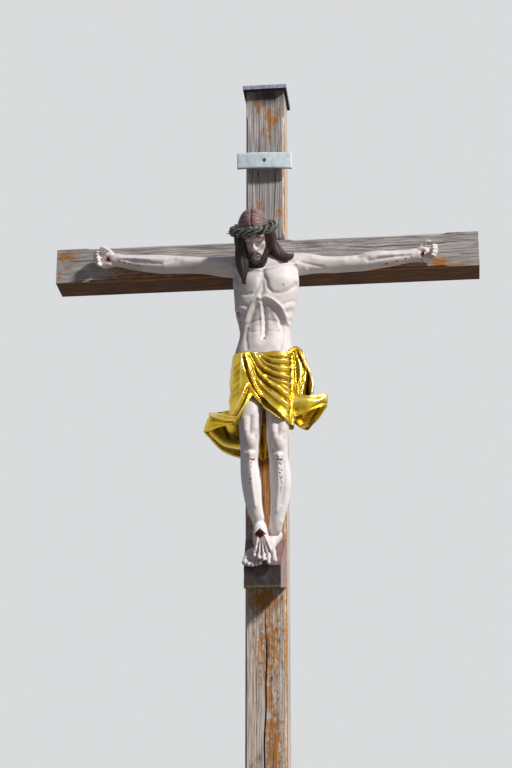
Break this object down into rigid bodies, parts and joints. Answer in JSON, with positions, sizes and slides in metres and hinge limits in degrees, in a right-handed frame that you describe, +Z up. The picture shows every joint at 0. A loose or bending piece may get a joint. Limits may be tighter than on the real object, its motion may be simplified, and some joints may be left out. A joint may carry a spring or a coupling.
{
  "type": "wayside crucifix",
  "caption": "Tall timber wayside cross with a carved, painted figure, gilded loincloth, bowed name board, metal cap and foot block.",
  "frame": {"origin": "middle of the post's flat foot, at ground level", "axes": "+Z up along the post; +X to the right of someone facing the figure; the figure faces -Y"},
  "size_m": [2.15, 0.5699, 5.1855],
  "materials": {
    "timber": "weathered silver-grey oak with ochre stains",
    "pegs": "weathered end grain",
    "cap_wood": "dark red-brown board",
    "cap_metal": "weathered zinc grey",
    "board_paint": "pale mint-white paint",
    "block_paint": "worn maroon paint",
    "flesh_paint": "matt off-white flesh paint",
    "hair_paint": "dark brown paint, satin",
    "thorn_paint": "dark green-black paint",
    "iron": "blackened iron",
    "gilding": "burnished gold leaf"
  },
  "bodies": {
    "root": {"post": "timber", "beam": "timber", "joint_pegs": "pegs", "cap_board": "cap_wood", "cap_sheet": "cap_metal", "name_board": "board_paint", "name_board_block": "timber", "foot_block": "block_paint", "torso": "flesh_paint", "head": "flesh_paint", "hair": "hair_paint", "beard": "hair_paint", "left_lock": "hair_paint", "right_lock": "hair_paint", "crown_strand_1": "thorn_paint", "crown_strand_2": "thorn_paint", "crown_strand_3": "thorn_paint", "crown_thorns": "thorn_paint", "right_arm": "flesh_paint", "left_arm": "flesh_paint", "right_hand": "flesh_paint", "left_hand": "flesh_paint", "right_hand_nail": "iron", "left_hand_nail": "iron", "right_leg": "flesh_paint", "left_leg": "flesh_paint", "right_foot": "flesh_paint", "left_foot": "flesh_paint", "foot_nail": "iron", "loincloth_wrap": "gilding", "loincloth_knot": "gilding", "loincloth_fall": "gilding", "loincloth_billow": "gilding", "loincloth_flying_end": "gilding", "loincloth_back": "gilding"}
  },
  "joints": []
}
